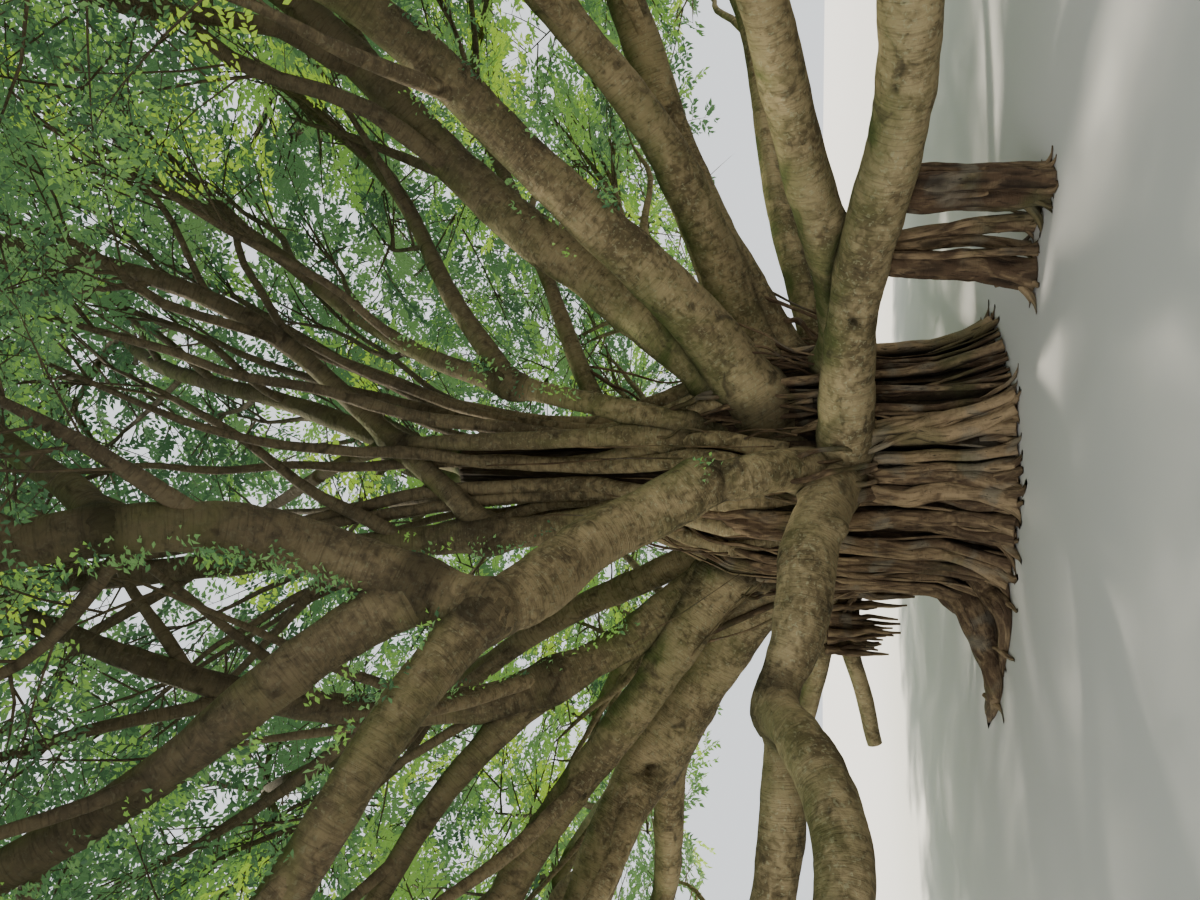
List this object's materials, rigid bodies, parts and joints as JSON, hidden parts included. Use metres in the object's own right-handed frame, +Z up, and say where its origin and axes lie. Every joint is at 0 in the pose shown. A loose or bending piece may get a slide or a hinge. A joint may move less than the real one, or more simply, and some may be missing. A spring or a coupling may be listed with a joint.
{
  "type": "banyan tree",
  "caption": "Old banyan tree: a fluted trunk of grown-together roots with a flat cut at ground level, long low spreading boughs and a broad domed crown of leaves.",
  "frame": {"origin": "middle of the trunk's flat cut at ground level", "axes": "+Z up; -Y towards the side the tree is seen from in the picture; +X to that side's right"},
  "size_m": [19.6653, 19.111, 12.8077],
  "materials": {
    "trunk_bark": "rough fibrous bark",
    "limb_bark": "matt mottled bark",
    "foliage": "satin leaves"
  },
  "bodies": {
    "root": {"trunk": "trunk_bark", "low_left_bough": "limb_bark", "low_left_near_arm": "limb_bark", "low_left_far_arm": "limb_bark", "low_right_bough": "limb_bark", "low_right_arm": "limb_bark", "front_riser": "limb_bark", "front_bough": "limb_bark", "front_left_limb": "limb_bark", "front_top_limb": "limb_bark", "front_crown_limb": "limb_bark", "front_top_arm": "limb_bark", "left_steep_bough": "limb_bark", "left_steep_arm": "limb_bark", "left_twin_bough": "limb_bark", "left_mid_bough": "limb_bark", "left_big_bough": "limb_bark", "left_big_arm": "limb_bark", "left_inner_bough": "limb_bark", "left_low_bough": "limb_bark", "left_stub": "limb_bark", "centre_left_bough": "limb_bark", "centre_right_limb": "limb_bark", "centre_top_limb": "limb_bark", "s_bough": "limb_bark", "inner_right_bough": "limb_bark", "high_right_limb": "limb_bark", "right_steep_bough": "limb_bark", "right_rising_bough": "limb_bark", "thin_right_bough": "limb_bark", "right_fork_bough": "limb_bark", "right_spread_bough": "limb_bark", "right_level_bough": "limb_bark", "right_near_bough": "limb_bark", "back_right_bough": "limb_bark", "back_bough": "limb_bark", "back_left_bough": "limb_bark", "back_high_bough": "limb_bark", "pillar_left": "trunk_bark", "pillar_right": "trunk_bark", "mass_front_left_skirt": "foliage", "mass_front_right_skirt": "foliage", "mass_front": "foliage", "mass_left_skirt": "foliage", "mass_back_left_side_skirt": "foliage", "mass_right_skirt": "foliage", "mass_back_right_side_skirt": "foliage", "mass_back_right_skirt": "foliage", "mass_back_skirt": "foliage", "mass_back_left_skirt": "foliage", "mass_left_shoulder": "foliage", "mass_back_left_shoulder": "foliage", "mass_back_right_shoulder": "foliage", "mass_right_shoulder": "foliage", "mass_front_right_shoulder": "foliage", "mass_front_left_shoulder": "foliage", "mass_back_shoulder": "foliage", "mass_top_left": "foliage", "mass_top_right": "foliage", "mass_top": "foliage"}
  },
  "joints": []
}
